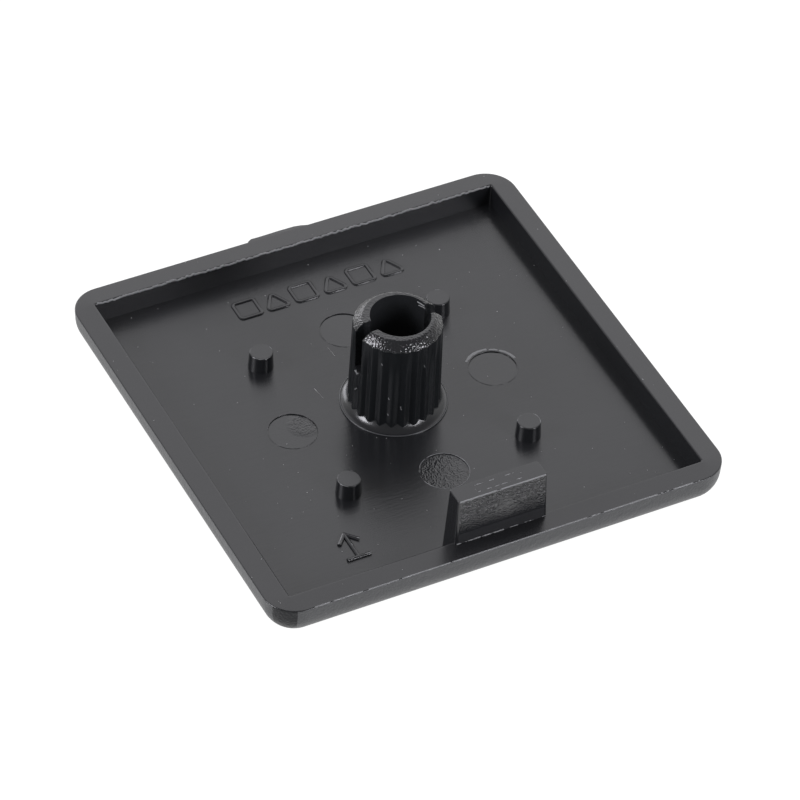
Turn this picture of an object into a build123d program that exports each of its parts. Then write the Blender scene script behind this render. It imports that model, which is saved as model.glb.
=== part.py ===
from build123d import *
import os
from math import cos, pi, radians, sin, tan

# End cap for a 40 mm square slotted framing profile, moulded in one piece.
# Millimetres, +Z up.  The origin is the middle of the flat show face, which lies
# on the XY plane.  The open side, with the plug, the key and the pins, faces +Z.
# The key stands on the -Y side, and the gate was cut off on the +Y side.

# Shell: a shallow square tray with a raised rim
SIZE = 40.0
HEIGHT = 3.5
TRAY_DEPTH = 2.0
RIM_WIDTH = 1.9
CORNER_RADIUS = 2.65
FACE_RADIUS = 2.6
SIDE_DRAFT = 3.0
WALL_DRAFT = 1.0

# Key that drops into the profile's slot; width and thickness are at its root
KEY_WIDTH = 8.2
KEY_THICKNESS = 2.15
KEY_SETBACK = 2.5
KEY_RISE = 4.4
KEY_DRAFT = 2.0

# Plug that presses into the profile's core hole; diameters are over the ribs
PLUG_RISE = 7.1
PLUG_ROOT_DIAMETER = 7.5
PLUG_TIP_DIAMETER = 7.2
RIB_COUNT = 24
RIB_DEPTH = 0.3
BORE_DIAMETER = 4.9
BORE_SHIFT = 0.2
BORE_FLOOR = 0.5
LEAD_IN_DEPTH = 0.68
LEAD_IN_LAND = 0.15
SPLIT_WIDTH = 1.1
SPLIT_SHIFT = -0.15
SPLIT_DEPTH = 4.4

# Collar: the swept foot of the plug, with a crisp step at its outer edge
COLLAR_DIAMETER = 8.8
COLLAR_STEP = 0.1
COLLAR_HEIGHT = 0.75
COLLAR_HOLLOW = 0.12

# Four stub pins and four ejector marks on the tray's floor
PIN_DIAMETER = 2.1
PIN_HEIGHT = 1.5
PIN_PITCH = 16.0
PIN_DRAFT = 3.5
EJECTOR_DIAMETER = 4.0
EJECTOR_RADIUS = 9.0
EJECTOR_COUNT = 4
EJECTOR_DEPTH = 0.08

# What is left of the gate on the outside of the rim
GATE_WIDTH = 5.5
GATE_OFFSET = -0.8
GATE_PROUD = 0.3
GATE_THICKNESS = 1.0
GATE_STEP = 0.4
GATE_FADE = 1.1

floor = HEIGHT - TRAY_DEPTH
key_top = HEIGHT + KEY_RISE
plug_top = HEIGHT + PLUG_RISE
bore_bottom = floor + BORE_FLOOR
slimming = (PLUG_ROOT_DIAMETER - PLUG_TIP_DIAMETER) / (plug_top - floor) / 2
gate_root = GATE_THICKNESS * tan(radians(SIDE_DRAFT)) + GATE_PROUD


def ribbed_outline(tip_radius):
    """Points of a ring of V ribs, with one crest on each axis."""
    points = []
    for corner in range(2 * RIB_COUNT):
        angle = pi * corner / RIB_COUNT
        radius = tip_radius - RIB_DEPTH * (corner % 2)
        points.append((radius * cos(angle), radius * sin(angle)))
    return points


with BuildPart() as plug:
    # Ribbed stem, slimmer towards its tip
    for level, diameter in ((floor, PLUG_ROOT_DIAMETER), (plug_top, PLUG_TIP_DIAMETER)):
        with BuildSketch(Plane.XY.offset(level)):
            with BuildLine():
                Polyline(*ribbed_outline(diameter / 2), close=True)
            make_face()
    loft(ruled=True)

    # Lead-in: what stands outside a cone at the tip is turned away
    land_radius = BORE_DIAMETER / 2 + BORE_SHIFT + LEAD_IN_LAND
    crest_radius = PLUG_TIP_DIAMETER / 2 + slimming * LEAD_IN_DEPTH
    with BuildSketch(Plane.XZ):
        with BuildLine():
            Polyline(
                (land_radius, plug_top),
                (crest_radius, plug_top - LEAD_IN_DEPTH),
                (PLUG_ROOT_DIAMETER, plug_top - LEAD_IN_DEPTH),
                (PLUG_ROOT_DIAMETER, plug_top),
                close=True,
            )
        make_face()
    revolve(axis=Axis.Z, mode=Mode.SUBTRACT)

    # Collar swept down from the stem to the floor
    with BuildSketch(Plane.XZ):
        with BuildLine():
            Polyline(
                (PLUG_ROOT_DIAMETER / 2 - RIB_DEPTH, floor + COLLAR_HEIGHT),
                (0, floor + COLLAR_HEIGHT),
                (0, floor),
                (COLLAR_DIAMETER / 2, floor),
                (COLLAR_DIAMETER / 2, floor + COLLAR_STEP),
            )
            SagittaArc(
                (COLLAR_DIAMETER / 2, floor + COLLAR_STEP),
                (PLUG_ROOT_DIAMETER / 2 - RIB_DEPTH, floor + COLLAR_HEIGHT),
                COLLAR_HOLLOW,
            )
        make_face()
    revolve(axis=Axis.Z)

    # Blind bore, its core pin a little off the plug's axis
    with BuildSketch(Plane.XY.offset(plug_top)):
        with Locations((BORE_SHIFT, 0)):
            Circle(BORE_DIAMETER / 2)
    extrude(amount=bore_bottom - plug_top, mode=Mode.SUBTRACT)

    # The split through both walls, which lets the two halves close; its blade
    # stands a little off the plug's axis
    with BuildSketch(Plane.XY.offset(plug_top)):
        with Locations((0, SPLIT_SHIFT)):
            Rectangle(2 * PLUG_ROOT_DIAMETER, SPLIT_WIDTH)
    extrude(amount=-SPLIT_DEPTH, mode=Mode.SUBTRACT)


with BuildPart() as end_cap:
    # Outside of the shell, drafted in from the rim to the show face
    with BuildSketch(Plane.XY.offset(HEIGHT)):
        RectangleRounded(SIZE, SIZE, CORNER_RADIUS)
    extrude(amount=-HEIGHT, taper=SIDE_DRAFT)
    fillet(end_cap.faces().sort_by(Axis.Z)[0].edges(), FACE_RADIUS)

    # Tray
    with BuildSketch(Plane.XY.offset(HEIGHT)):
        Rectangle(SIZE - 2 * RIM_WIDTH, SIZE - 2 * RIM_WIDTH)
    extrude(amount=-TRAY_DEPTH, taper=WALL_DRAFT, mode=Mode.SUBTRACT)

    # Ejector marks, sunk a hair into the floor on both axes
    with BuildSketch(Plane.XY.offset(floor)):
        with PolarLocations(EJECTOR_RADIUS, EJECTOR_COUNT):
            Circle(EJECTOR_DIAMETER / 2)
    extrude(amount=-EJECTOR_DEPTH, mode=Mode.SUBTRACT)

    # Stub pins
    with BuildSketch(Plane.XY.offset(floor)):
        with GridLocations(PIN_PITCH, PIN_PITCH, 2, 2):
            Circle(PIN_DIAMETER / 2)
    extrude(amount=PIN_HEIGHT, taper=PIN_DRAFT)

    # Key, whose outer face rises from the rim
    with BuildSketch(Plane.XY.offset(floor)):
        with Locations((0, KEY_SETBACK - SIZE / 2)):
            Rectangle(KEY_WIDTH, KEY_THICKNESS)
    extrude(amount=key_top - floor, taper=KEY_DRAFT)

    # Gate mark: steps out on one side and fades back into the rim on the other
    gate_left = GATE_OFFSET - GATE_WIDTH / 2
    gate_right = GATE_OFFSET + GATE_WIDTH / 2
    with BuildSketch(Plane.XY.offset(HEIGHT)):
        with BuildLine():
            Polyline(
                (gate_left, SIZE / 2 - gate_root),
                (gate_left, SIZE / 2),
                (gate_left + GATE_STEP, SIZE / 2 + GATE_PROUD),
                (gate_right - GATE_FADE, SIZE / 2 + GATE_PROUD),
                (gate_right, SIZE / 2),
                (gate_right, SIZE / 2 - gate_root),
                close=True,
            )
        make_face()
    extrude(amount=-GATE_THICKNESS)

    add(plug.part)

end_cap.part.label = "end_cap"
os.makedirs("parts", exist_ok=True)
export_step(end_cap.part, "parts/end_cap.step")
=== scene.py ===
# %% [markdown]
# # A moulded end cap, dressed for its picture
#
# The object is a black plastic cap that closes the sawn end of a 40 mm framing profile.  It lies
# on its show face, so what we see is its working side: a shallow tray with a flat rim, a ribbed
# and split plug, a key that drops into the profile's slot, four stub pins and the marks that the
# mould left behind.
#
# The solid part arrives as a fixed frame.  Here it gets the finish of the real thing: edges that
# catch the light, spark-eroded skin, a scuffed plug, flash and dust.

# %% Load the frame
from functools import partialmethod
from math import cos, pi, radians, sin, tan

import bmesh
import bpy
from mathutils import Matrix, Vector


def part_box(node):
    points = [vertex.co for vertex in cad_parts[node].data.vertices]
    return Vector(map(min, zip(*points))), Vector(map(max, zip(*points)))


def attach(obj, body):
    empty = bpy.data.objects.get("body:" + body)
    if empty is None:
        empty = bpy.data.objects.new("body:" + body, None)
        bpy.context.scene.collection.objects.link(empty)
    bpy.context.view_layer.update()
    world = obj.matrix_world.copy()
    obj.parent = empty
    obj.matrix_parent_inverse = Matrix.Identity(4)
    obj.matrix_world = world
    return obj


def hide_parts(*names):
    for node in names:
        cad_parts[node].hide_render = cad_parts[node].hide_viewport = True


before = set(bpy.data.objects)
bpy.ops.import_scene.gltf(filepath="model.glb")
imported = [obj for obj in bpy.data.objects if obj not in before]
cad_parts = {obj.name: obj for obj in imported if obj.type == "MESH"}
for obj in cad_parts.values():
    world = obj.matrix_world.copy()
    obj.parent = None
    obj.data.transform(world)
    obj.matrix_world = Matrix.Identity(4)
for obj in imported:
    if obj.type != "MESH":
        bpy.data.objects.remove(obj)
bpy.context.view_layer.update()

MM = 0.001
cap_low, cap_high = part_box("end_cap")

# %% [markdown]
# ## Levels that every piece shares
#
# The frame gives the outline and the plug's top.  The levels between them are named here, as on
# the part's drawing.  A size that only one piece uses is named where that piece is made.

# %% Name the levels
HALF_SIZE = (cap_high.x - cap_low.x) / 2
PLUG_TOP = cap_high.z
RIM_TOP = 3.5 * MM
RIM_WIDTH = 1.9 * MM
FLOOR = 1.5 * MM
print("half size", round(HALF_SIZE / MM, 2), "plug top", round(PLUG_TOP / MM, 2), "mm")

# %% [markdown]
# ## A small kit
#
# Every shader and every Geometry Nodes tree below is built in code.  One helper adds a node with
# its inputs.  A number that a node gives can be held as a Wire, so that sums are written as plain
# formulas: each sign in a formula adds a Math node to the tree.


# %% Node helpers
def as_socket(value):
    """The socket behind a Wire, or the first output of a node; a number stays as it is."""
    if isinstance(value, Wire):
        return value.socket
    return value.outputs[0] if isinstance(value, bpy.types.Node) else value


def add_node(tree, kind, inputs=None, **properties):
    """Add one node, set its properties, then its inputs by name or number."""
    node = tree.nodes.new(kind)
    for name, value in properties.items():
        setattr(node, name, value)
    for key, value in (inputs or {}).items():
        value = as_socket(value)
        if isinstance(value, bpy.types.NodeSocket):
            tree.links.new(value, node.inputs[key])
        else:
            node.inputs[key].default_value = value
    return node


def add_math(tree, operation, *values):
    """One Math node, as a Wire."""
    return Wire(tree, add_node(tree, "ShaderNodeMath", dict(enumerate(values)), operation=operation))


class Wire:
    """A result in a tree, for use in formulas."""

    def __init__(self, tree, source):
        self.tree = tree
        self.socket = as_socket(source)

    def do(self, operation, *others):
        """Any operation of a Math node, such as a cosine."""
        return add_math(self.tree, operation, self, *others)

    def __rsub__(self, number):
        return add_math(self.tree, "SUBTRACT", number, self)

    __add__ = partialmethod(do, "ADD")
    __sub__ = partialmethod(do, "SUBTRACT")
    __mul__ = partialmethod(do, "MULTIPLY")
    __truediv__ = partialmethod(do, "DIVIDE")


print("signs that a Wire knows:", "+ - * /")

# %% [markdown]
# A few nodes come back often.  Every pattern here is drawn on Object coordinates, so that it stays
# where it is on the part.


# %% Helpers for common nodes
def add_range(tree, value, low, high, to_low, to_high, curve="LINEAR"):
    """Carry a value from one span to another, and hold it at the ends."""
    spans = {"Value": value, 1: low, 2: high, 3: to_low, 4: to_high}
    return Wire(tree, add_node(tree, "ShaderNodeMapRange", spans, interpolation_type=curve))


def add_noise(tree, place, scale, detail, seed=None):
    """A Noise Texture node, with a fourth coordinate where it has a seed."""
    inputs = {"Vector": place, "Scale": scale, "Detail": detail}
    if seed is None:
        return add_node(tree, "ShaderNodeTexNoise", inputs)
    return add_node(tree, "ShaderNodeTexNoise", {**inputs, "W": seed}, noise_dimensions="4D")


def add_distance(tree, place, point):
    return add_node(tree, "ShaderNodeVectorMath", {0: place, 1: point}, operation="DISTANCE").outputs["Value"]


def object_place(tree):
    return add_node(tree, "ShaderNodeTexCoord").outputs["Object"]


def split_xyz(tree, vector):
    return [Wire(tree, axis) for axis in add_node(tree, "ShaderNodeSeparateXYZ", {0: vector}).outputs]


def link(tree, value, socket):
    """Lead a value into an input that is already there."""
    tree.links.new(as_socket(value), socket)


print("curves of a range: LINEAR and SMOOTHSTEP")

# %% [markdown]
# One more helper starts a node group with named inputs, whose types follow from their defaults,
# and another puts an object in the scene.


# %% Group and object helpers
SOCKETS = {float: "NodeSocketFloat", int: "NodeSocketInt", type(None): "NodeSocketGeometry"}


def new_group(name, kind, inputs, outputs):
    """An empty node group; its sockets are name: default, and None stands for geometry."""
    tree = bpy.data.node_groups.new(name, kind)
    for direction, sockets in (("INPUT", inputs), ("OUTPUT", outputs)):
        for title, default in sockets.items():
            socket = tree.interface.new_socket(title, in_out=direction, socket_type=SOCKETS[type(default)])
            if default is not None:
                socket.default_value = default
    return tree, tree.nodes.new("NodeGroupInput"), tree.nodes.new("NodeGroupOutput")


def add_object(name, data):
    """Put a new object in the scene, at the origin."""
    made = bpy.data.objects.new(name, data)
    bpy.context.scene.collection.objects.link(made)
    return made


print("socket types:", list(SOCKETS.values()))

# %% [markdown]
# ## Camera
#
# A long lens from about 0.4 m, 43 degrees above the table, is how small parts are usually shown:
# hardly any perspective, the plug standing clear of the tray, and every wall readable.

# %% Set the camera
CAMERA_AZIMUTH = radians(-28.974)
CAMERA_ELEVATION = radians(43.385)
CAMERA_ROLL = radians(3.32)
CAMERA_DISTANCE = 413.88 * MM
CAMERA_LENS = 231.3
CAMERA_SENSOR = 36.0
AIM_RIGHT = 0.577 * MM
AIM_UP = 1.054 * MM

flat = cos(CAMERA_ELEVATION)
back = Vector((sin(CAMERA_AZIMUTH) * flat, -cos(CAMERA_AZIMUTH) * flat, sin(CAMERA_ELEVATION)))
level_right = Vector((cos(CAMERA_AZIMUTH), sin(CAMERA_AZIMUTH), 0))
level_up = back.cross(level_right)
view_right = level_right * cos(CAMERA_ROLL) + level_up * sin(CAMERA_ROLL)
view_up = level_up * cos(CAMERA_ROLL) - level_right * sin(CAMERA_ROLL)

lens = bpy.data.cameras.new("camera")
lens.lens = CAMERA_LENS
lens.sensor_width = CAMERA_SENSOR
lens.clip_start = 0.01
camera = add_object("camera", lens)
turn = Matrix((view_right, view_up, back)).transposed().to_4x4()
place = back * CAMERA_DISTANCE + view_right * AIM_RIGHT + view_up * AIM_UP
camera.matrix_world = Matrix.Translation(place) @ turn
bpy.context.scene.camera = camera
print("camera at, mm:", [round(v / MM, 1) for v in place])

# %% [markdown]
# ## Light
#
# Black plastic shows little colour of its own.  We read its surface by what it reflects, so the
# lamps are placed by the reflections that they make.  The tray and the rim mirror one wide panel
# behind the part.  Two smaller boxes, left and front right, strike the turned edges.

# %% Place the softboxes
COOL_WHITE = (0.948, 0.944, 1.0)


def softbox(name, azimuth, elevation, distance, width, height, radiance):
    """A rectangular lamp that faces the part; azimuth 0 is +X and 90 is +Y, in degrees."""
    lamp = bpy.data.lights.new(name, "AREA")
    lamp.color = COOL_WHITE
    lamp.shape = "RECTANGLE"
    lamp.size = width
    lamp.size_y = height
    lamp.energy = radiance * pi * width * height
    box = add_object(name, lamp)
    a, e = radians(azimuth), radians(elevation)
    direction = Vector((cos(a) * cos(e), sin(a) * cos(e), sin(e)))
    turn = direction.to_track_quat("Z", "Y").to_matrix().to_4x4()
    box.matrix_world = Matrix.Translation(direction * distance) @ turn
    print(name, "strength", round(lamp.energy, 2), "W")


# Name, azimuth, elevation, distance, width, height, radiance
softbox("back_panel", 61, 43, 1.2, 1.7, 1.2, 0.67)
softbox("left_box", 172, 32, 0.9, 0.34, 0.36, 13.0)
softbox("front_right_box", -64, 24, 0.9, 0.28, 0.40, 12.0)
softbox("back_left_strip", 100, 14, 1.0, 0.45, 0.25, 4.0)

# %% [markdown]
# The room is a pale tent.  The camera and reflections see it white, and the light that it sheds on
# the part is a little dimmer; Light Path tells the two apart.  Its opening, overhead at the front,
# is dim in reflections, so the near side of the plug's foot goes dark.

# %% Make the tent
TENT_GLOW = 0.50
OPENING_GLOW = 0.25
OPENING = Vector((-0.38, -0.66, 0.65)).normalized()
OPENING_EDGE = (-0.2, 0.5)


def looked_at(tree):
    """1 where the camera or a reflection looks, and 1 where a reflection does."""
    path = add_node(tree, "ShaderNodeLightPath").outputs
    mirrored = add_math(tree, "MAXIMUM", path["Is Glossy Ray"], path["Is Transmission Ray"])
    return mirrored.do("MAXIMUM", path["Is Camera Ray"]), mirrored


world = bpy.data.worlds.new("tent")
bpy.context.scene.world = world
world.use_nodes = True
tree = world.node_tree
tree.nodes.clear()
seen, mirrored = looked_at(tree)
way = add_node(tree, "ShaderNodeTexCoord").outputs["Generated"]
facing = add_node(tree, "ShaderNodeVectorMath", {0: way, 1: OPENING}, operation="DOT_PRODUCT")
dim = add_range(tree, facing.outputs["Value"], *OPENING_EDGE, 0.0, 1.0 - OPENING_GLOW, "SMOOTHSTEP")
strength = (seen * (1.0 - TENT_GLOW) + TENT_GLOW) * (1.0 - dim * mirrored)
glow = add_node(tree, "ShaderNodeBackground", {"Strength": strength})
add_node(tree, "ShaderNodeOutputWorld", {"Surface": glow})
print("tent glows at", TENT_GLOW, "and its opening at", OPENING_GLOW)

# %% [markdown]
# ## Table
#
# A wide white table top, a hair below the show face.  Where the camera or a reflection sees it,
# most of its white is emitted, so it stays clean, and the lit rest keeps the part's soft shadow.

# %% Lay the table
TABLE_SIZE = 6.0
TABLE_GAP = 0.01 * MM
TABLE_WHITE = 0.82
TABLE_GLOW = 0.97
TABLE_REST = 0.13

bpy.ops.mesh.primitive_plane_add(size=TABLE_SIZE, location=(0, 0, cap_low.z - TABLE_GAP))
table = bpy.context.object
table.name = "table"
table_finish = bpy.data.materials.new("table_white")
table_finish.use_nodes = True
tree = table_finish.node_tree
tree.nodes.clear()
matt = add_node(tree, "ShaderNodeBsdfDiffuse", {"Color": (TABLE_WHITE,) * 3 + (1,)})
soft = add_node(tree, "ShaderNodeBsdfDiffuse", {"Color": (TABLE_REST,) * 3 + (1,)})
lit = add_node(tree, "ShaderNodeEmission", {"Strength": TABLE_GLOW})
clean = add_node(tree, "ShaderNodeAddShader", {0: soft, 1: lit})
mixed = add_node(tree, "ShaderNodeMixShader", {0: looked_at(tree)[0], 1: matt, 2: clean})
add_node(tree, "ShaderNodeOutputMaterial", {"Surface": mixed})
table.data.materials.append(table_finish)
print("table", TABLE_SIZE, "m wide, glow", TABLE_GLOW)

# %% [markdown]
# ## Black moulded plastic
#
# Glass-filled polyamide comes out of a polished mould black and half glossy.  The gloss isn't
# quite even: the melt leaves faint clouds, and handling leaves hair lines.  One node group gives
# the clouds and the fine grain, and each plastic below takes its own strength of them.


# %% Build the grain group
WIDER = 0.3


def grain_group():
    """Clouds for roughness, and a height for the bump, both from Object coordinates."""
    tree, given, result = new_group(
        "moulded_grain", "ShaderNodeTree", {"Fine Scale": 9000.0, "Cloud Scale": 260.0, "Coarse": 0.5},
        {"Height": 0.0, "Clouds": 0.0})
    place, fine_scale = object_place(tree), Wire(tree, given.outputs["Fine Scale"])
    fine = Wire(tree, add_noise(tree, place, fine_scale, 0.5))
    wide = Wire(tree, add_noise(tree, place, fine_scale * WIDER, 1.0))
    clouds = add_noise(tree, place, given.outputs["Cloud Scale"], 4.0)
    link(tree, fine + wide * given.outputs["Coarse"], result.inputs["Height"])
    link(tree, clouds, result.inputs["Clouds"])
    return tree


moulded_grain = grain_group()
print("group", moulded_grain.name, "nodes", len(moulded_grain.nodes))

# %% [markdown]
# The whole part is one black compound, but its skin differs from face to face: polished,
# spark-eroded, pitted, scuffed or torn.  So each skin is one call, with its roughness, the depth
# and scale of its grain, and its own tone where wear has changed it.  Some tones are painted light:
# the pale grey of the flash and the collar's bead is painted highlight, and the lighter tones of
# the rim's top and the bore are painted light.

# %% Mix the plastics
PLASTIC_BLACK = (0.0108, 0.0113, 0.0128, 1)
POLYMER_IOR = 1.6


def plastic(name, roughness, depth, scale=9000.0, coarse=0.5, spread=0.03, color=PLASTIC_BLACK, specular=0.5):
    """A black plastic; depth is that of its grain in mm, and spread is the play in its gloss."""
    material = bpy.data.materials.new(name)
    material.use_nodes = True
    tree = material.node_tree
    shader = tree.nodes["Principled BSDF"]
    shader.inputs["Base Color"].default_value = color
    shader.inputs["IOR"].default_value = POLYMER_IOR
    shader.inputs["Specular IOR Level"].default_value = specular
    grain = add_node(tree, "ShaderNodeGroup", node_tree=moulded_grain)
    grain.inputs["Fine Scale"].default_value = scale
    grain.inputs["Coarse"].default_value = coarse
    clouds = Wire(tree, grain.outputs["Clouds"])
    link(tree, clouds * (2 * spread) + (roughness - spread), shader.inputs["Roughness"])
    bump = add_node(tree, "ShaderNodeBump",
                    {"Height": grain.outputs["Height"], "Distance": depth * MM, "Strength": 1.0})
    link(tree, bump, shader.inputs["Normal"])
    return material


gloss = plastic("moulded_gloss", 0.235, 0.0003)
# The rim's grain is its own; its lighter tone is painted light on the rim's top.
rim_skin_painted_light = plastic("rim_skin_painted_light", 0.26, 0.002, 5000, 1.0, 0.03, (0.0136, 0.0138, 0.0152, 1))
spark = plastic("spark_eroded", 0.42, 0.034, 6500, 1.2, 0.04, (0.031, 0.0325, 0.035, 1))
rubbed = plastic("rubbed_corner", 0.38, 0.040, 6500, 1.2, 0.04, (0.009, 0.0095, 0.011, 1), 0.18)
fine_spark = plastic("spark_eroded_fine", 0.12, 0.16, 8500, 0.5)
stem_skin = plastic("scuffed_stem", 0.32, 0.006, 6000, 1.0, 0.03, (0.0092, 0.0104, 0.0116, 1), 0.26)
# The bore's rough skin is its own; its lighter tone is painted light that lifts the bore's shade.
bore_skin_painted_light = plastic("bored_skin_painted_light", 0.40, 0.010, 6000, 1.0, 0.03, (0.018, 0.0193, 0.021, 1), 0.20)
# Pale grey flash: the pale colour is painted highlight, standing in for glints along edges, burrs and marks.
pale_and_painted_glint = plastic("pale_flash_painted_glint", 0.40, 0.004, 6000, 1.0, 0.04, (0.17, 0.172, 0.178, 1))
# The collar's bead is lighter than the plastic: a painted highlight on the collar's edge.
bead_painted_highlight = plastic("collar_bead_painted_highlight", 0.36, 0.004, 6000, 1.0, 0.04, (0.050, 0.051, 0.054, 1))
pitted = plastic("pitted_steel_print", 0.20, 0.045, 7000, 1.0)
crushed = plastic("crushed_tip", 0.16, 0.060, 6500, 0.3)
stoned = plastic("stoned_floor", 0.248, 0.0018)
print("materials so far:", [material.name for material in bpy.data.materials])

# %% [markdown]
# The tray's floor was stoned by hand along X before it was polished.  The strokes are too fine to
# see one by one, but they spread every reflection across them and leave it crisp along them.  That
# is what the Anisotropic socket is for; a few deeper strokes are added to the bump.

# %% Stroke the floor
STROKE_SPREAD = 0.85
STROKE_SCALE = 5200.0
STROKE_STRETCH = 0.12
STROKE_SHARE = 6.0


def grain_height(material):
    """The height socket of a plastic's bump, and the grain that feeds it."""
    height = next(node for node in material.node_tree.nodes if node.type == "BUMP").inputs["Height"]
    return height, Wire(material.node_tree, height.links[0].from_socket)


tree = stoned.node_tree
shader = tree.nodes["Principled BSDF"]
shader.inputs["Anisotropic"].default_value = STROKE_SPREAD
across = add_node(tree, "ShaderNodeTangent", direction_type="RADIAL", axis="X")
link(tree, across, shader.inputs["Tangent"])
stretch = {"Vector": object_place(tree), "Scale": (STROKE_STRETCH, 1.0, 1.0)}
drawn = add_node(tree, "ShaderNodeMapping", stretch)
strokes = Wire(tree, add_noise(tree, drawn, STROKE_SCALE, 2.0))
height, fine = grain_height(stoned)
link(tree, strokes * STROKE_SHARE + fine, height)
print(stoned.name, "spread across X", STROKE_SPREAD)

# %% [markdown]
# The key's outer face is spark-eroded too, but not evenly: the electrode never reached its foot,
# and a thumb has smoothed a patch in its middle.  Both are masks on the depth of the grain, and
# the smooth foot also shines less.

# %% Fade the key's grain
ERODED_FROM = 4.5 * MM
ERODED_FULLY = 6.0 * MM
WORN_CENTRE = (0.3 * MM, -18.5 * MM, 5.95 * MM)
WORN_EDGE = (0.4 * MM, 1.5 * MM)

tree = fine_spark.node_tree
place = object_place(tree)
up = split_xyz(tree, place)[2]
eroded = add_range(tree, up, ERODED_FROM, ERODED_FULLY, 0.02, 1.0)
unworn = add_range(tree, add_distance(tree, place, WORN_CENTRE), *WORN_EDGE, 0.4, 1.0)
height, fine = grain_height(fine_spark)
link(tree, eroded * unworn * fine, height)
sheen = add_range(tree, eroded, 0.0, 1.0, 0.13, 0.75)
link(tree, sheen, tree.nodes["Principled BSDF"].inputs["Specular IOR Level"])
print(fine_spark.name, "fades below", round(ERODED_FULLY / MM, 1), "mm")

# %% [markdown]
# The ejector pin beside the key is pitted all over, and the left one in a patch toward the plug.
# So the pits fade too: all stay in front of a line across the tray, and behind it only the patch.

# %% Patch the pits
ALL_PITTED_BEYOND = -6.0 * MM
PIT_PATCH = (-7.8 * MM, 0.4 * MM, 1.45 * MM)
PATCH_EDGE = (0.9 * MM, 1.5 * MM)

tree = pitted.node_tree
place = object_place(tree)
by_key = split_xyz(tree, place)[1].do("LESS_THAN", ALL_PITTED_BEYOND)
patches = add_range(tree, add_distance(tree, place, PIT_PATCH), *PATCH_EDGE, 1.3, 0.15)
height, pits = grain_height(pitted)
link(tree, by_key.do("MAXIMUM", patches) * pits, height)
print(pitted.name, "patchy behind", round(ALL_PITTED_BEYOND / MM, 1), "mm")

# %% [markdown]
# ## Rings and soft corners
#
# A moulding has no knife edges: its corners are a few hundredths of a millimetre round, and that is
# where light catches.  We draw each piece as a profile of corners, each with its radius, and loft
# rings through it.  A support loop next to each round keeps the flat beside it dead flat.

# %% Soften a profile
SUPPORT = 0.03 * MM
WIDE_RADIUS = 0.5 * MM
WIDE_STEPS = 14
FINE_STEPS = 4


def soften(corners):
    """Replace each inner corner (across, up, radius) by an arc with support points; 0 stays sharp."""
    points = [Vector(corners[0][:2])]
    for before, (across, up, radius), after in zip(corners, corners[1:], corners[2:]):
        here = Vector((across, up))
        if not radius:
            points.append(here)
            continue
        back_way = (Vector(before[:2]) - here).normalized()
        on_way = (Vector(after[:2]) - here).normalized()
        half_angle = back_way.angle(on_way) / 2
        centre = here + (back_way + on_way).normalized() * (radius / sin(half_angle))
        start = here + back_way * (radius / tan(half_angle))
        end = here + on_way * (radius / tan(half_angle))
        steps = WIDE_STEPS if radius > WIDE_RADIUS else FINE_STEPS
        points.append(start + back_way * SUPPORT)
        for step in range(steps + 1):
            points.append(centre + (start - centre).slerp(end - centre, step / steps) * radius)
        points.append(end + on_way * SUPPORT)
    points.append(Vector(corners[-1][:2]))
    return points


print("a soft corner has", len(soften([(0, 0, 0), (MM, 0, 0.1 * MM), (MM, MM, 0)])) - 2, "points")

# %% [markdown]
# A ring is the outline of a piece at one height: a circle, or a box with rounded corners.  Rings
# with the same count of points are joined by four-sided faces and closed by a cap at each end.
# That gives clean, closed meshes, whose faces all look outwards.

# %% Loft rings into a closed body
CORNER_STEPS = 14


def circle(radius, z, steps, centre=(0, 0)):
    """Points round a level circle, anticlockwise from above."""
    turns = [2 * pi * i / steps for i in range(steps)]
    return [(centre[0] + radius * cos(a), centre[1] + radius * sin(a), z) for a in turns]


def box_ring(half_x, half_y, corner, z, centre_y=0.0):
    """Points round a rectangle with rounded corners, anticlockwise from above."""
    points = []
    for quarter, (side_x, side_y) in enumerate(((1, 1), (-1, 1), (-1, -1), (1, -1))):
        for step in range(-1, CORNER_STEPS + 2):
            on_arc = min(max(step, 0), CORNER_STEPS)
            a = pi / 2 * (quarter + on_arc / CORNER_STEPS)
            along = SUPPORT * (step - on_arc)
            x = side_x * (half_x - corner) + corner * cos(a) - along * sin(a)
            y = side_y * (half_y - corner) + corner * sin(a) + along * cos(a) + centre_y
            points.append((x, y, z))
    return points


def loft(rings):
    """A closed mesh through rings of equal count, capped at both ends."""
    shape = bmesh.new()
    rows = [[shape.verts.new(point) for point in ring] for ring in rings]
    for lower, upper in zip(rows, rows[1:]):
        for i in range(len(lower)):
            j = (i + 1) % len(lower)
            shape.faces.new((lower[i], lower[j], upper[j], upper[i]))
    shape.faces.new(list(reversed(rows[0])))
    shape.faces.new(rows[-1])
    return shape


def as_piece(name, shape, *finishes):
    """Turn a bmesh into an object with its materials."""
    mesh = bpy.data.meshes.new(name)
    shape.to_mesh(mesh)
    shape.free()
    piece = add_object(name, mesh)
    for finish in finishes:
        mesh.materials.append(finish)
    return piece


def shade(piece, angle=35):
    """Smooth shading, with edges sharper than the angle kept crisp."""
    piece.data.polygons.foreach_set("use_smooth", [True] * len(piece.data.polygons))
    piece.data.set_sharp_from_angle(angle=radians(angle))


def dress(piece):
    """Hide the frame's end cap and attach a piece to the root body."""
    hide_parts("end_cap")
    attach(piece, "root")
    print(piece.name, "faces", len(piece.data.polygons))


print("points in a box ring:", len(box_ring(MM, MM, 0.1 * MM, 0.0)))

# %% [markdown]
# ## Running a Geometry Nodes tree
#
# Whatever repeats on this part, or follows an edge, is made by a small tree.  The helper runs a tree
# on a piece as a modifier and keeps the result as a plain mesh, so that nothing live is left on it.


# %% Run a tree
def start_tree(name, inputs):
    """A Geometry Nodes tree with a geometry input and output and the named inputs."""
    return new_group(name, "GeometryNodeTree", {"Geometry": None, **inputs}, {"Geometry": None})


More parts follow.
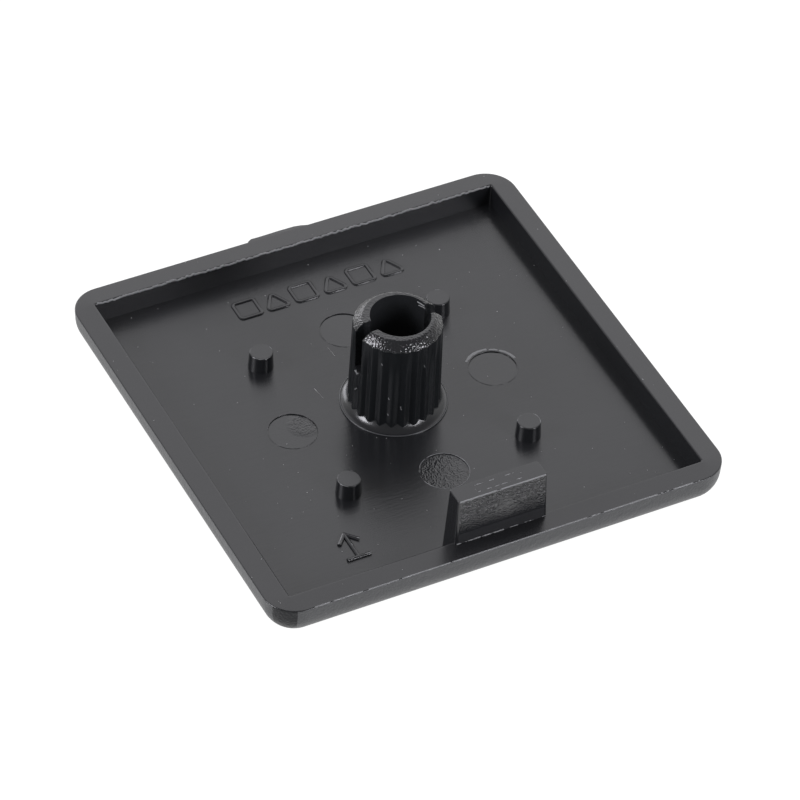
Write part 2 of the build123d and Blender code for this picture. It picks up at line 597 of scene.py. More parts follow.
def finish_tree(tree, result, geometry, material):
    """End a tree in Realize Instances and Set Material."""
    real = add_node(tree, "GeometryNodeRealizeInstances", {0: geometry})
    link(tree, add_node(tree, "GeometryNodeSetMaterial", {0: real, "Material": material}), result.inputs[0])


def run_tree(piece, tree, values):
    """Run a tree on a piece with its inputs set by name, and keep the plain mesh."""
    modifier = piece.modifiers.new(tree.name, "NODES")
    modifier.node_group = tree
    inputs = (item for item in tree.interface.items_tree if item.in_out == "INPUT")
    sockets = {item.name: item.identifier for item in inputs}
    for name, value in values.items():
        modifier[sockets[name]] = value
    bpy.context.view_layer.update()
    graph = bpy.context.evaluated_depsgraph_get()
    solid = bpy.data.meshes.new_from_object(piece.evaluated_get(graph))
    solid.name = name = piece.name
    old = piece.data
    piece.modifiers.clear()
    if piece.type == "MESH":
        piece.data = solid
        bpy.data.meshes.remove(old)
        return piece
    bpy.data.objects.remove(piece)
    return add_object(name, solid)


print("node groups so far:", len(bpy.data.node_groups))

# %% [markdown]
# ## Shell
#
# The shell is a square tray, 40 mm a side, drafted so that it leaves the mould, with a broad round
# under its outside edge.  Its rim has sunk a little towards the outside as it cooled.  It is drawn
# as one profile, to be lofted round the square.

# %% Draw the shell's profile
SIDE_DRAFT = tan(radians(3.0))
WALL_DRAFT = tan(radians(1.0))
FACE_RADIUS = 2.6 * MM
CORNER_CENTRE = HALF_SIZE - 2.65 * MM
TRAY_CORNER = 0.16 * MM
RIM_SINK = 0.10 * MM

tray_half = HALF_SIZE - RIM_WIDTH
profile = soften([
    (0.7 * HALF_SIZE, 0.0, 0.0),
    (HALF_SIZE - RIM_TOP * SIDE_DRAFT, 0.0, FACE_RADIUS),
    (HALF_SIZE, RIM_TOP - RIM_SINK, 0.10 * MM),
    (tray_half, RIM_TOP, 0.15 * MM),
    (tray_half - (RIM_TOP - FLOOR) * WALL_DRAFT, FLOOR, 0.0),
    (0.85 * HALF_SIZE, FLOOR, 0.0),
])
print("shell profile points", len(profile))

# %% [markdown]
# Outside, the corner's round keeps one centre, so it gets smaller as the side drafts inwards.
# Inside, the tray's corners are as sharp as a square electrode leaves them.

# %% Loft the shell
rings = []
for half, up in profile:
    inside = half < HALF_SIZE - RIM_WIDTH / 2 and up > FLOOR / 2
    corner = TRAY_CORNER if inside else max(half - CORNER_CENTRE, TRAY_CORNER)
    rings.append(box_ring(half, half, corner, up))
shell = as_piece("shell", loft(rings), gloss, spark, pitted)
print("shell rings", len(rings))

# %% [markdown]
# ## Ejector marks
#
# Four steel pins push the part out of the mould, and each prints a round mark in the floor.  They
# sit on a circle, so a tree puts a disc at each corner of a four-sided ring and cuts the discs out
# of the shell in one Boolean.

# %% Sink the ejector marks
EJECTOR_RING = 9.0 * MM
EJECTOR_RADIUS = 2.0 * MM
EJECTOR_DEPTH = 0.055 * MM


def cut_away(tree, body, tool):
    """Cut a closed tool out of a closed body."""
    cut = add_node(tree, "GeometryNodeMeshBoolean", {0: body}, operation="DIFFERENCE", solver="EXACT")
    link(tree, tool, cut.inputs[1])
    return cut


def ejector_tree():
    tree, given, result = start_tree("ejector_marks", ejector_values)
    use = given.outputs
    ring = add_node(tree, "GeometryNodeMeshCircle", {"Vertices": 4, "Radius": use["Ring Radius"]})
    disc = add_node(tree, "GeometryNodeMeshCylinder", {
        "Vertices": 96, "Radius": use["Mark Radius"], "Depth": Wire(tree, use["Depth"]) * 2.0})
    discs = add_node(tree, "GeometryNodeInstanceOnPoints", {"Points": ring, "Instance": disc})
    level = add_node(tree, "ShaderNodeCombineXYZ", {"Z": use["Floor"]})
    placed = add_node(tree, "GeometryNodeTransform", {"Geometry": discs, "Translation": level})
    real = add_node(tree, "GeometryNodeRealizeInstances", {0: placed})
    finish_tree(tree, result, cut_away(tree, use[0], real), gloss)
    return tree


ejector_values = {"Ring Radius": EJECTOR_RING, "Mark Radius": EJECTOR_RADIUS, "Depth": EJECTOR_DEPTH,
                  "Floor": FLOOR}
run_tree(shell, ejector_tree(), ejector_values)
print("shell with marks: faces", len(shell.data.polygons))

# %% [markdown]
# The outside of the shell and the show face have the spark-eroded skin, and the marks' floors keep
# the print of a worn steel pin.  Each face is given its finish by where it lies.

# %% Give the shell its finishes
GLOSS, SPARK, PITTED, RIM, RUBBED, STONED = range(6)
shell.data.materials.clear()
for finish in (gloss, spark, pitted, rim_skin_painted_light, rubbed, stoned):
    shell.data.materials.append(finish)
# Each face by where it lies; the rim's top gets the rim skin, whose lighter tone is painted light.
for face in shell.data.polygons:
    centre = face.center
    beyond = max(abs(centre.x), abs(centre.y)) > tray_half + 0.12 * MM
    if abs(centre.z - FLOOR + EJECTOR_DEPTH) < 0.01 * MM:
        face.material_index = PITTED
    elif beyond and face.normal.z > 0.8:
        face.material_index = RIM
    elif centre.z < FLOOR / 2 or beyond:
        on_corner = centre.x < -CORNER_CENTRE - 0.9 * MM and centre.y < -CORNER_CENTRE - 1.1 * MM
        face.material_index = RUBBED if on_corner and centre.z > 0.8 * MM else SPARK
    else:
        face.material_index = STONED if face.normal.z > 0.9 else GLOSS
shade(shell)
dress(shell)

# %% [markdown]
# ## Gate mark
#
# The melt came in through the middle of one side.  The gate was cut off by hand, which leaves a
# low stump: it steps out on one side and fades back into the rim on the other.

# %% Make the gate mark
GATE_LEFT = -3.5 * MM
GATE_RIGHT = 1.95 * MM
GATE_PROUD = 0.3 * MM
GATE_THICKNESS = 1.0 * MM

outline = [
    (GATE_LEFT, -0.6 * MM), (GATE_RIGHT, -0.6 * MM), (GATE_RIGHT, -0.02 * MM),
    (GATE_RIGHT - 0.5 * MM, 0.17 * MM), (GATE_RIGHT - 1.1 * MM, GATE_PROUD - 0.02 * MM),
    (-0.6 * MM, GATE_PROUD), (-2.2 * MM, GATE_PROUD - 0.03 * MM),
    (GATE_LEFT + 0.4 * MM, GATE_PROUD - 0.01 * MM), (GATE_LEFT + 0.1 * MM, 0.12 * MM), (GATE_LEFT, 0.0),
]


def gate_ring(shrink, up):
    """The gate's outline, drawn in at its two ends and its face."""
    ring = []
    for x, y in outline:
        inward = shrink if x < -2 * MM else -shrink if x > 0 else 0
        ring.append((x + inward, HALF_SIZE + y - shrink * (y > 0), up))
    return ring


edge = 0.07 * MM
top = RIM_TOP - RIM_SINK - 0.01 * MM
gate = as_piece("gate_mark", loft([
    gate_ring(0.25 * MM, top - GATE_THICKNESS), gate_ring(0.06 * MM, top - GATE_THICKNESS + 0.1 * MM),
    gate_ring(0.0, top - 0.6 * MM), gate_ring(0.0, top - edge), gate_ring(0.3 * edge, top - 0.3 * edge),
    gate_ring(edge, top)]), gloss)
shade(gate, 50)
dress(gate)

# %% [markdown]
# ## Key
#
# The key drops into the slot of the profile and keeps the cap from turning.  Its outer face was
# eroded with the outside of the mould; its other faces are as smooth as the tray.

# %% Loft the key
KEY_CENTRE = -HALF_SIZE + 2.5 * MM
KEY_HALF_WIDTH = 4.1 * MM
KEY_HALF_THICKNESS = 1.075 * MM
KEY_TOP = 7.9 * MM
KEY_DRAFT = tan(radians(2.0))
KEY_EDGE = 0.08 * MM
KEY_UPRIGHT_EDGE = 0.26 * MM

slim = (KEY_TOP - FLOOR) * KEY_DRAFT
rings = []
for shrink, up in soften([
    (-0.3 * MM * KEY_DRAFT, FLOOR - 0.3 * MM, 0.0),
    (slim, KEY_TOP, KEY_EDGE),
    (slim + 0.3 * MM, KEY_TOP, 0.0),
]):
    half_x, half_y = KEY_HALF_WIDTH - shrink, KEY_HALF_THICKNESS - shrink
    rings.append(box_ring(half_x, half_y, KEY_UPRIGHT_EDGE, up, KEY_CENTRE))
key = as_piece("key", loft(rings), gloss, fine_spark)
for face in key.data.polygons:
    if face.normal.y < -0.98:
        face.material_index = 1
shade(key)
dress(key)

# %% [markdown]
# ## Stub pins
#
# Four little pins stand on the floor, turned in the mould with a slight draft.  One is lofted, and
# a tree copies it to the corners of a square.

# %% Copy the pins
PIN_RADIUS = 1.05 * MM
PIN_HEIGHT = 1.5 * MM
PIN_PITCH = 16.0 * MM
PIN_DRAFT = tan(radians(3.5))
ROUND_STEPS = 64

pin_rings = [circle(radius, FLOOR + up, ROUND_STEPS) for radius, up in soften([
    (PIN_RADIUS + 0.2 * MM * PIN_DRAFT, -0.2 * MM, 0.0),
    (PIN_RADIUS - PIN_HEIGHT * PIN_DRAFT, PIN_HEIGHT, 0.10 * MM),
    (PIN_RADIUS - 0.5 * MM, PIN_HEIGHT, 0.0),
])]


def pin_tree():
    tree, given, result = start_tree("stub_pins", {"Pitch": PIN_PITCH})
    pitch = given.outputs["Pitch"]
    corners = add_node(tree, "GeometryNodeMeshGrid", {
        "Size X": pitch, "Size Y": pitch, "Vertices X": 2, "Vertices Y": 2})
    copies = add_node(tree, "GeometryNodeInstanceOnPoints", {"Points": corners, "Instance": given})
    finish_tree(tree, result, copies, gloss)
    return tree


pins = as_piece("pins", loft(pin_rings), gloss)
run_tree(pins, pin_tree(), {"Pitch": PIN_PITCH})
shade(pins)
dress(pins)

# %% [markdown]
# ## Plug
#
# The plug presses into the profile's core hole.  Its ribs follow one rule round the stem, so a
# tree shapes them: it reads each point's angle and height on a plain turned blank, works out the
# radius there, and moves the point out to it.  The blank comes first.  Its foot is the collar, a
# slightly hollow cone with a crisp step.

# %% Turn the plug's blank
COLLAR_RADIUS = 4.4 * MM
COLLAR_STEP = 0.1 * MM
COLLAR_LAND = 0.13 * MM
COLLAR_HEIGHT = 0.88 * MM
COLLAR_TOP_RADIUS = 3.45 * MM
COLLAR_HOLLOW = 0.12 * MM
STEM_ROOT = 3.75 * MM
STEM_TIP = 3.6 * MM
RIB_COUNT = 24
RIB_DEPTH = 0.20 * MM
LEAD_IN_DEPTH = 0.68 * MM
LAND_RADIUS = 2.8 * MM
CORE_RADIUS = 2.7 * MM
AROUND = RIB_COUNT * 18


def collar_radius(up):
    """Radius of the swept foot at a height above the floor."""
    outer = Vector((COLLAR_RADIUS - COLLAR_LAND, COLLAR_STEP))
    inner = Vector((COLLAR_TOP_RADIUS, COLLAR_HEIGHT))
    across = inner - outer
    radius = ((across.length / 2) ** 2 + COLLAR_HOLLOW ** 2) / (2 * COLLAR_HOLLOW)
    outward = Vector((across.y, -across.x)).normalized()
    centre = (outer + inner) / 2 + outward * (radius - COLLAR_HOLLOW)
    return centre.x - (radius ** 2 - (up - centre.y) ** 2) ** 0.5


def levels(low, high, count):
    return [low + (high - low) * i / count for i in range(count + 1)]


lead_in = PLUG_TOP - LEAD_IN_DEPTH
profile = [(COLLAR_RADIUS - 0.03 * MM, FLOOR - 0.1 * MM)]
profile += [(COLLAR_RADIUS, FLOOR + up) for up in (0.0, 0.03 * MM, COLLAR_STEP - 0.035 * MM)]
profile += [(COLLAR_RADIUS - 0.012 * MM, FLOOR + COLLAR_STEP - 0.01 * MM)]
profile += [(COLLAR_RADIUS - inward, FLOOR + COLLAR_STEP) for inward in (0.035 * MM, COLLAR_LAND - 0.02 * MM)]
profile += [(collar_radius(up), FLOOR + up) for up in levels(COLLAR_STEP + 0.01 * MM, COLLAR_HEIGHT, 16)]
profile += [(CORE_RADIUS, z) for z in levels(FLOOR + COLLAR_HEIGHT + 0.03 * MM, lead_in - 0.3 * MM, 26)]
profile += [(CORE_RADIUS, z) for z in levels(lead_in - 0.26 * MM, PLUG_TOP, 24)]
profile += [(LAND_RADIUS * share, PLUG_TOP + 1e-6 * MM) for share in (0.98, 0.95, 0.91, 0.87, 0.82, 0.78)]
plug = as_piece("plug", loft([circle(radius, z, AROUND) for radius, z in profile]), gloss)
print("blank rings", len(profile))

# %% [markdown]
# The first half of the tree is sums, in the order in which a toolmaker would draw the stem: the
# ribs, the taper, the lead-in, and last the wear, coarse on the tip and round the split's mouth.

# %% Shape the ribs
FADE_SPAN = (0.55, 0.95)
LEAD_IN_BELLY = 0.8
LEAD_IN_BLEND = 0.08 * MM
WEAR_DOWN = (2.2, 0.8)
WEAR_SIDE = (1.6 * MM, 0.6 * MM)
WEAR_SCALE = 5200.0
WEAR_BIAS = 0.62


def shape_stem(tree, use, blank):
    """Move the blank's points out to the ribs, the taper and the lead-in, and wear them."""
    place = add_node(tree, "GeometryNodeInputPosition")
    x, y, z = split_xyz(tree, place)
    radius = (x * x + y * y).do("SQRT")

    # Ribs: a wave of 0 on each crest and 1 in each groove, between pointed and round
    turns = y.do("ARCTAN2", x) * use["Rib Count"] / (2 * pi)
    pointed = turns.do("PINGPONG", 0.5) * 2.0
    round_wave = (pointed * pi).do("COSINE") * -0.5 + 0.5
    wave = pointed + (round_wave - pointed) * use["Roundness"]

    # The stem slims towards its tip, and the ribs get shallower there
    rise = (z - use["Floor"]) / (use["Top"] - use["Floor"])
    stem = use["Root Radius"] + (use["Tip Radius"] - use["Root Radius"]) * rise
    fade = add_range(tree, rise, *FADE_SPAN, 0.0, use["Tip Fade"], "SMOOTHSTEP")
    ribs = stem - use["Rib Depth"] * (1.0 - fade) * wave

    # Lead-in cone, with a slight belly
    down = (use["Top"] - z) / use["Lead In"]
    belly = down.do("MAXIMUM", 0.0).do("POWER", LEAD_IN_BELLY)
    cone = use["Land Radius"] + (use["Tip Radius"] - use["Land Radius"]) * belly
    outside = ribs.do("SMOOTH_MIN", cone, LEAD_IN_BLEND)

    # Wear
    off_split = (y - use["Split Shift"]).do("ABSOLUTE")
    near_tip = add_range(tree, down, *WEAR_DOWN, 0.12, 1.0)
    near_split = add_range(tree, off_split, *WEAR_SIDE, 0.35, 1.0)
    noise = Wire(tree, add_noise(tree, place, WEAR_SCALE, 3.0, use["Seed"]))
    rough = (noise - WEAR_BIAS) * (near_tip * near_split * use["Wear"] * 2.0)

    # Move points out to the new radius; the cap's points only sink
    scale = radius.do("MAXIMUM", outside + rough) / radius
    scale = scale + z.do("GREATER_THAN", use["Top"]) * (1.0 - scale)
    near_top = z.do("GREATER_THAN", use["Top"] - 0.03 * MM)
    sink = near_top * (rough - 0.01 * MM).do("MINIMUM", -0.002 * MM)
    moved = add_node(tree, "ShaderNodeCombineXYZ", {0: x * scale, 1: y * scale, 2: z + sink})
    return add_node(tree, "GeometryNodeSetPosition", {0: blank, "Position": moved})


print("stem blend", round(LEAD_IN_BLEND / MM, 2), "mm, wear noise", WEAR_SCALE)

# %% [markdown]
# The second half cuts.  A cylinder, set a little to one side, bores the stem, and a blade splits
# it.  Noise shakes the blade's own points first, so that it cuts as unevenly as a worn tool.

# %% Cut the bore and the split
RAGGED_SCALE = 3800.0
RAGGED_SHARE = 2.2


def add_shake(tree, noise, reach):
    """Offsets to all sides from a noise's colour."""
    centred = add_node(tree, "ShaderNodeVectorMath", {0: noise.outputs["Color"], 1: (0.5, 0.5, 0.5)},
                       operation="SUBTRACT")
    return add_node(tree, "ShaderNodeVectorMath", {0: centred, "Scale": reach}, operation="SCALE")


def move_tool(tree, tool, x=0.0, y=0.0, z=0.0):
    """Carry a cutter to its place; x, y and z are numbers or results."""
    where = add_node(tree, "ShaderNodeCombineXYZ", {0: x, 1: y, 2: z})
    return add_node(tree, "GeometryNodeTransform", {"Geometry": tool, "Translation": where})


def cut_stem(tree, use, ribbed):
    """Bore the stem and split it."""
    bore = add_node(tree, "GeometryNodeMeshCylinder", {
        "Vertices": 128, "Radius": use["Bore Radius"], "Depth": (use["Top"] - use["Bore Bottom"]) * 2.0})
    bore = move_tool(tree, bore, x=use["Bore Shift"], z=use["Top"])

    size = add_node(tree, "ShaderNodeCombineXYZ", {
        0: use["Root Radius"] * 3.0, 1: use["Split Width"], 2: use["Split Depth"] * 2.0})
    blade = add_node(tree, "GeometryNodeMeshCube", {
        "Size": size, "Vertices X": 120, "Vertices Y": 6, "Vertices Z": 90})
    blade = move_tool(tree, blade, y=use["Split Shift"], z=use["Top"])
    noise = add_noise(tree, add_node(tree, "GeometryNodeInputPosition"), RAGGED_SCALE, 3.0, use["Seed"])
    ragged = add_shake(tree, noise, use["Wear"] * RAGGED_SHARE)
    blade = add_node(tree, "GeometryNodeSetPosition", {"Geometry": blade, "Offset": ragged})
    return cut_away(tree, cut_away(tree, ribbed, bore), blade)


plug_values = {
    "Rib Count": float(RIB_COUNT), "Rib Depth": RIB_DEPTH, "Roundness": 0.4, "Root Radius": STEM_ROOT,
    "Tip Radius": STEM_TIP, "Land Radius": LAND_RADIUS, "Floor": FLOOR, "Top": PLUG_TOP,
    "Lead In": LEAD_IN_DEPTH, "Tip Fade": 0.75, "Bore Radius": 2.45 * MM, "Bore Shift": 0.2 * MM,
    "Bore Bottom": 2.0 * MM, "Split Width": 1.15 * MM, "Split Shift": -0.15 * MM,
    "Split Depth": 4.4 * MM, "Wear": 0.06 * MM, "Seed": 3.0}
tree, given, result = start_tree("ribbed_plug", plug_values)
use = {name: Wire(tree, given.outputs[name]) for name in plug_values}
finish_tree(tree, result, cut_stem(tree, use, shape_stem(tree, use, given)), gloss)
run_tree(plug, tree, plug_values)
print("plug faces", len(plug.data.polygons), "from a tree of", len(tree.nodes), "nodes")

# %% [markdown]
# The tip was crushed by a press fit, the ribs are scuffed, and the bore is as rough as its core pin
# left it, with a lighter tone that is painted light in its shade.  Each face gets its finish by where
# it lies, and the collar keeps the gloss.

# %% Give the plug its finishes
CRUSHED, STEM, BORE = 1, 2, 3
for finish in (crushed, stem_skin, bore_skin_painted_light):
    plug.data.materials.append(finish)
for face in plug.data.polygons:
    centre = face.center
    if centre.z > lead_in - 0.02 * MM and face.normal.z > 0.3:
        face.material_index = CRUSHED
    elif centre.z > FLOOR + COLLAR_HEIGHT * 0.5 and abs(face.normal.z) < 0.3:
        face.material_index = STEM if centre.xy.length > CORE_RADIUS + 0.1 * MM else BORE
shade(plug, 38)
dress(plug)

# %% [markdown]
# ## Mould marks on the floor
#
# Marks that are engraved in a mould come out raised on the part.  Ours are plain outlines, squares
# and triangles in turn, each a closed run of one curve object that lies flat on the floor.

# %% Draw the mark outlines
MARK_HALF = 0.95 * MM
MARK_ROW = [x * MM for x in (-6.1, -3.6, -1.0, 1.6, 4.2, 6.8)]
MARK_Y = 14.5 * MM


def curve_piece(name, runs, closed):
    """A curve object with one run of straight pieces through each list of points."""
    data = bpy.data.curves.new(name, "CURVE")
    data.dimensions = "3D"
    for points in runs:
        run = data.splines.new("POLY")
        run.points.add(len(points) - 1)
        for point, place in zip(run.points, points):
            point.co = (*place, 1)
        run.use_cyclic_u = closed
    return add_object(name, data)


outlines = []
h = MARK_HALF
for number, x in enumerate(MARK_ROW):
    square = [(x - h, -h), (x + h, -h), (x + h, h), (x - h, h)]
    triangle = [(x - 1.1 * h, -h), (x + 1.1 * h, -h), (x, h)]
    outlines.append([(across, MARK_Y + up, FLOOR) for across, up in (triangle if number % 2 else square)])
print("mark outlines", len(outlines))

# %% [markdown]
# The tree rounds the outlines' corners and sweeps a low trapezoid along them, half of it under the
# floor.  Its sides are so flat that even the far ones face the eye, so each stroke shows two dark
# lines, and its shoulders are round, as a worn engraving leaves them.


# %% Raise the marks
def mark_tree(values):
    tree, given, result = start_tree("raised_marks", values)
    use = given.outputs

    def round_off(curve, count, radius):
        corners = {"Curve": curve, "Count": count, "Radius": radius, "Limit Radius": True}
        return add_node(tree, "GeometryNodeFilletCurve", corners, mode="POLY")

    rounded = round_off(use[0], 5, use["Corner Radius"])
    upright = add_node(tree, "GeometryNodeSetCurveNormal", {"Curve": rounded}, mode="Z_UP")
    section = add_node(tree, "GeometryNodeCurvePrimitiveQuadrilateral",
                       {"Height": use["Height"], "Bottom Width": use["Foot Width"],
                        "Top Width": use["Top Width"], "Offset": 0.0}, mode="TRAPEZOID")
    section = round_off(section, 3, use["Shoulder Radius"])
    raised = add_node(tree, "GeometryNodeCurveToMesh",
                      {"Curve": upright, "Profile Curve": section, "Fill Caps": True})
    finish_tree(tree, result, raised, gloss)
    return tree


mark_values = {"Foot Width": 0.54 * MM, "Top Width": 0.24 * MM, "Height": 0.23 * MM,
               "Corner Radius": 0.25 * MM, "Shoulder Radius": 0.13 * MM}
marks = run_tree(curve_piece("floor_marks", outlines, True), mark_tree(mark_values), mark_values)
shade(marks, 15)
dress(marks)
print("marks stand", round((marks.bound_box[6][2] - FLOOR) / MM, 3), "mm proud")

# %% [markdown]
# ## Flash along the edges
#
# Where two halves of a mould meet, a hair of plastic creeps out.  It swells, wavers and stops, and
# each swelling is a glint.  The tree walks along a line in short steps, and noise decides how fat
# the flash is at each; where the noise is low, it thins to nothing.  Its pale grey is painted
# highlight along the edges.

# %% Build the flash tree
FLASH_STEP = 0.05 * MM
FLASH_RISE = 0.12


def flash_tree():
    tree, given, result = start_tree("edge_flash", {
        "Thickness": 0.05 * MM, "Bead Scale": 2000.0, "Cover": 0.5, "Waver": 0.02 * MM, "Seed": 0.0})
    use = given.outputs
    line = add_node(tree, "GeometryNodeResampleCurve", {"Curve": given, "Length": FLASH_STEP}, mode="LENGTH")
    place = add_node(tree, "GeometryNodeInputPosition")
    beads = add_noise(tree, place, use["Bead Scale"], 2.0, use["Seed"])
    off = add_shake(tree, beads, use["Waver"])
    line = add_node(tree, "GeometryNodeSetPosition", {"Geometry": line, "Offset": off})
    start = 0.75 - Wire(tree, use["Cover"]) * 0.5
    fat = add_range(tree, beads, start, start + FLASH_RISE, 0.02, 1.0)
    section = {"Resolution": 8, "Radius": use["Thickness"]}
    section = add_node(tree, "GeometryNodeCurvePrimitiveCircle", section)
    flash = add_node(tree, "GeometryNodeCurveToMesh",
                     {"Curve": line, "Profile Curve": section, "Scale": fat, "Fill Caps": True})
    # Pale grey by default: painted highlight.
    finish_tree(tree, result, flash, pale_and_painted_glint)
    return tree


edge_flash = flash_tree()
print("tree", edge_flash.name, "nodes", len(edge_flash.nodes))

# %% [markdown]
# Flash is drawn in millimetres, as a line through points.  Cover says how much of the line it
# fills, and waver how far it strays.  Runs lie on the edges of the tray, the rim and the key, and
# one rings the collar.

# %% Lay the flash
rim, tray, side = RIM_TOP / MM, tray_half / MM, HALF_SIZE / MM
key_top, key_face = KEY_TOP / MM, (KEY_CENTRE - KEY_HALF_THICKNESS) / MM


def flash_line(name, points, thickness, bead_scale, cover, waver, seed, closed=False, finish=None):
    """Flash along straight runs through points in millimetres."""
    line = curve_piece(name, [[[v * MM for v in point] for point in points]], closed)
    piece = run_tree(line, edge_flash, {
        "Thickness": thickness * MM, "Bead Scale": bead_scale, "Cover": cover, "Waver": waver * MM,
        "Seed": seed})
    if finish:
        piece.data.materials[0] = finish
    shade(piece, 80)
    dress(piece)


def along_x(start, end, y, z):
    return [(start, y, z), (end, y, z)]


tray_back = along_x(-17.9, 17.9, tray + 0.03, rim - 0.075)
rim_front = along_x(-16.8, 16.9, 0.1 - side, rim - 0.15)
rim_left = [(0.07 - side, 16.8, rim - 0.16), (0.07 - side, -16.8, rim - 0.16)]
top_left = along_x(-3.75, -0.55, key_face + 0.29, key_top - 0.055)
top_right = along_x(-0.15, 3.75, key_face + 0.29, key_top - 0.055)
foot_left = along_x(-3.9, 0.2, key_face + 0.075, rim + 0.04)
foot_right = along_x(0.5, 3.9, key_face + 0.085, rim + 0.03)
insert = along_x(-2.0, 2.05, key_face + 0.725, key_top - 0.02)
insert += along_x(2.05, -2.0, key_face + 1.475, key_top - 0.02)
collar_edge = circle(COLLAR_RADIUS / MM - 0.06, (FLOOR + COLLAR_STEP) / MM - 0.015, 90)

# Name, points, thickness, bead scale, cover, waver, seed
flash_line("flash_tray_back", tray_back, 0.080, 4200.0, 1.2, 0.34, 1.0)
flash_line("flash_rim_front", rim_front, 0.068, 1000.0, 0.90, 0.015, 2.0)
flash_line("flash_rim_left", rim_left, 0.05, 2600.0, 0.4, 0.02, 3.0)
flash_line("flash_key_top_left", top_left, 0.067, 2000.0, 1.2, 0.02, 4.0)
flash_line("flash_key_top_right", top_right, 0.067, 2000.0, 1.2, 0.02, 5.0)
flash_line("flash_key_foot_left", foot_left, 0.055, 2400.0, 0.70, 0.04, 6.0)
flash_line("flash_key_foot_right", foot_right, 0.035, 2400.0, 0.55, 0.04, 9.0)
flash_line("key_insert_line", insert, 0.05, 2200.0, 0.48, 0.03, 7.0, closed=True)
# The collar's bead is a lighter grey: painted highlight on its edge.
flash_line("collar_bead_painted_highlight", collar_edge, 0.06, 900.0, 1.1, 0.01, 8.0, closed=True, finish=bead_painted_highlight)

# %% [markdown]
# A broken ring of pale flash lies on the edge of each pin's top; its pale grey is painted
# highlight along that edge.

# %% Ring the pins
pitch = PIN_PITCH / MM / 2
pin_top = (FLOOR + PIN_HEIGHT) / MM
for number, (x, y) in enumerate([(-pitch, -pitch), (pitch, -pitch), (-pitch, pitch), (pitch, pitch)]):
    ring = circle(0.915, pin_top - 0.025, 48, (x, y))
    flash_line(f"pin_painted_highlight_{number}", ring, 0.034, 700.0, 0.5, 0.01, 40.0 + number, closed=True)

# %% [markdown]
# Plastic also creeps round the ejector pins, so each mark has a hair of flash on its edge.  On
# the mark beside the key it is pale grey, a painted highlight.

# %% Ring the ejector marks
floor, on_ring = FLOOR / MM, EJECTOR_RING / MM
for number, (x, y) in enumerate([(on_ring, 0), (0, on_ring), (-on_ring, 0), (0, -on_ring)]):
    ring = circle(EJECTOR_RADIUS / MM + 0.01, floor, 72, (x, y))
    flash_line(f"ejector_ring_{number}", ring, 0.028, 1000.0, 0.8, 0.02, 50.0 + number, closed=True,
               finish=gloss if y >= 0 else pale_and_painted_glint)

# %% [markdown]
# The right-hand ejector pin has dragged, and has left a pale crescent behind its mark.  It is three
# fat runs of flash, sunk so far into the floor that only a thin skin of each shows.

# %% Drag a crescent
for number, (start, end, reach, thickness, sunk) in enumerate([
        (76, 137, 2.26, 0.60, 0.560), (53, 71, 2.22, 0.42, 0.395), (11, 49, 2.22, 0.52, 0.490)]):
    turns = [radians(angle) for angle in levels(start, end, 24)]
    arc = [(on_ring + reach * cos(a), reach * sin(a), floor - sunk) for a in turns]
    flash_line(f"drag_crescent_{number}", arc, thickness, 1500.0, 1.1, 0.12, 60.0 + number)

# %% [markdown]
# Near the front corner the mould has an arrow that stands on a bar, cut with a ball cutter, so its
# strokes are round.  The same tree lays them, and a thinner run of pale flash along each stroke is
# its painted glint.

# %% Lay the arrow
ARROW_X = -10.45
ARROW_Y = -13.55
strokes = {
    "arrow_bar": [(-1.0, -1.3), (1.0, -1.3)],
    "arrow_shaft": [(0.0, -1.3), (0.0, 1.4)],
    "arrow_head": [(-0.85, 0.45), (0.0, 1.4), (0.85, 0.45)],
}
for name, stroke in strokes.items():
    run = [(ARROW_X + x, ARROW_Y + y, floor + 0.02) for x, y in stroke]
    flash_line(name, run, 0.19, 900.0, 1.6, 0.03, 12.0, finish=gloss)
    crest = [(x + 0.02, y - 0.04, z + 0.165) for x, y, z in run]
    # The crest run is pale: a painted glint.
    flash_line(name + "_crest", crest, 0.04, 1100.0, 0.5, 0.03, 13.0)

# %% [markdown]
# The split's edges carry torn slivers.  Each is a short run of the same flash, laid across the edge
# that it was torn from; its pale grey is a painted glint.

# %% Leave the burrs
slivers = {
    "burr_far_end": [(2.28, 1.15, 10.35), (2.52, 0.40, 10.40)],
    "burr_far_end_low": [(2.36, 1.00, 10.05), (2.60, 0.42, 10.12)],
    "burr_land": [(1.10, -2.32, 10.52), (1.42, -2.16, 10.52)],
    "burr_split_foot": [(-3.66, -0.62, 6.28), (-3.70, -0.10, 6.20)],
    "burr_split_foot_cross": [(-3.66, -0.20, 6.36), (-3.70, -0.45, 6.08)],
    "burr_stem_left": [(-3.72, -0.50, 4.62), (-3.74, -0.32, 4.36)],
}
for number, (name, run) in enumerate(slivers.items()):
    flash_line(name, run, 0.055, 3000.0, 1.0, 0.08, 20.0 + number)

# %% [markdown]
# A few glints on the ribs are painted: short slivers in the pale flash grey.  A glint is given by its
# turn round the plug and its height, and a small rule finds the ribs' surface there.


# %% Paint glints on the ribs
def on_rib(degrees, height):
    """A point in millimetres on the plug's ribbed side."""
    rise = (height * MM - FLOOR) / (PLUG_TOP - FLOOR)
    groove = abs((degrees * RIB_COUNT / 360 + 0.5) % 1 - 0.5) * 2
    radius = (STEM_ROOT + (STEM_TIP - STEM_ROOT) * rise - RIB_DEPTH * groove) / MM
    return (radius * cos(radians(degrees)), radius * sin(radians(degrees)), height)


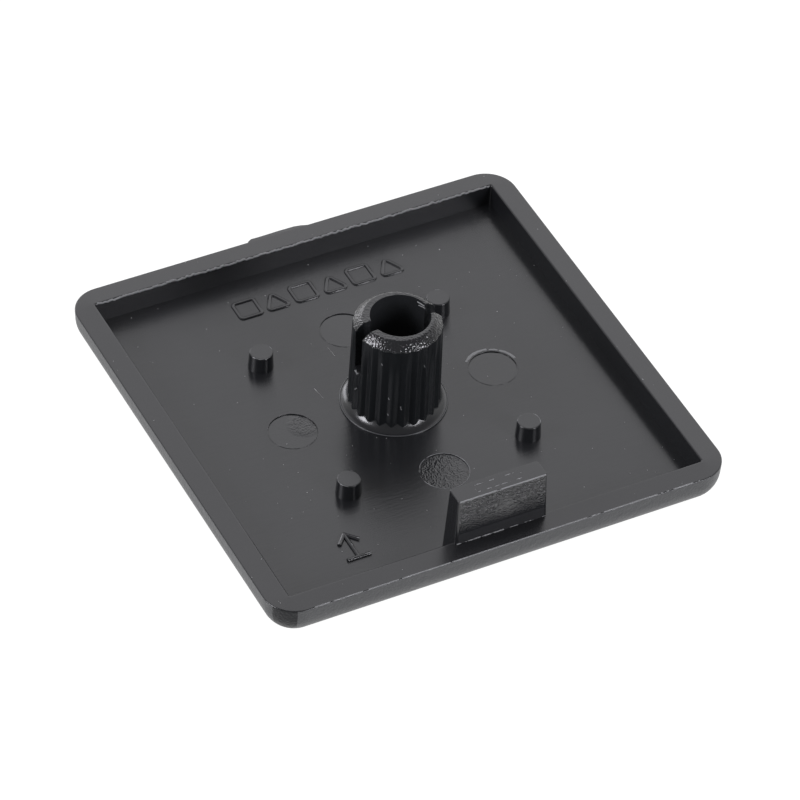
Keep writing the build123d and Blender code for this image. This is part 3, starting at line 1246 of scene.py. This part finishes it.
# Turn in degrees, height and half length in mm
rib_glints = [(-78.8, 7.9, 0.12), (-125.2, 4.9, 0.08), (-109.0, 3.95, 0.15), (-136.1, 8.5, 0.08),
           (-125.0, 3.2, 0.07)]
for number, (turn, height, reach) in enumerate(rib_glints):
    run = [on_rib(turn - 0.6, height + reach), on_rib(turn + 0.6, height - reach)]
    flash_line(f"rib_painted_glint_{number}", run, 0.042, 3000.0, 1.2, 0.03, 30.0 + number)

# %% [markdown]
# ## Dust
#
# Black plastic draws dust, a dull grey that noise makes paler here and darker there.  Two fibres
# from a cloth are runs of the flash tree in the same grey.

# %% Drop two fibres
dust_grey = bpy.data.materials.new("dust_grey")
dust_grey.use_nodes = True
tree = dust_grey.node_tree
shader = tree.nodes["Principled BSDF"]
shader.inputs["Roughness"].default_value = 0.8
shades = add_noise(tree, object_place(tree), 900.0, 2.0)
link(tree, add_range(tree, shades, 0.3, 0.7, 0.12, 0.55), shader.inputs["Base Color"])

for name, run in {"fibre_upper": [(-2.13, 7.69, floor), (-2.04, 6.53, floor)],
                  "fibre_lower": [(-5.26, 3.79, floor), (-5.07, 2.44, floor)]}.items():
    flash_line(name, run, 0.013, 1500.0, 1.2, 0.02, 30.0, finish=dust_grey)

# %% [markdown]
# A tree scatters specks over a copy of the shell, on the faces that look up, with a fixed seed, and
# turns and sizes each one a little differently.  Only the specks are kept.

# %% Scatter the dust
LEVEL_ENOUGH = 0.9
SMALLEST = (0.4, 0.4, 0.3)
LARGEST = (1.5, 1.3, 0.6)


def dust_tree(values):
    tree, given, result = start_tree("dust", values)
    seed = given.outputs["Seed"]
    up = split_xyz(tree, add_node(tree, "GeometryNodeInputNormal"))[2]
    specks = add_node(tree, "GeometryNodeDistributePointsOnFaces", {
        "Mesh": given, "Selection": up.do("GREATER_THAN", LEVEL_ENOUGH), "Density": given.outputs["Density"],
        "Seed": seed})
    speck = add_node(tree, "GeometryNodeMeshIcoSphere",
                     {"Radius": given.outputs["Speck Radius"], "Subdivisions": 1})
    size = add_node(tree, "FunctionNodeRandomValue", {"Seed": seed}, data_type="FLOAT_VECTOR")
    size.inputs[0].default_value = SMALLEST
    size.inputs[1].default_value = LARGEST
    turn = add_node(tree, "FunctionNodeRandomValue", {"Seed": seed, 3: 2 * pi}, data_type="FLOAT")
    about = add_node(tree, "ShaderNodeCombineXYZ", {2: turn.outputs[1]})
    copies = add_node(tree, "GeometryNodeInstanceOnPoints", {
        "Points": specks, "Instance": speck, "Rotation": about, "Scale": size})
    finish_tree(tree, result, copies, dust_grey)
    return tree


dust = add_object("dust", shell.data.copy())
dust_values = {"Density": 90000.0, "Speck Radius": 0.035 * MM, "Seed": 11}
run_tree(dust, dust_tree(dust_values), dust_values)
dress(dust)

# %% Finish
bpy.context.scene.view_settings.view_transform = "Standard"
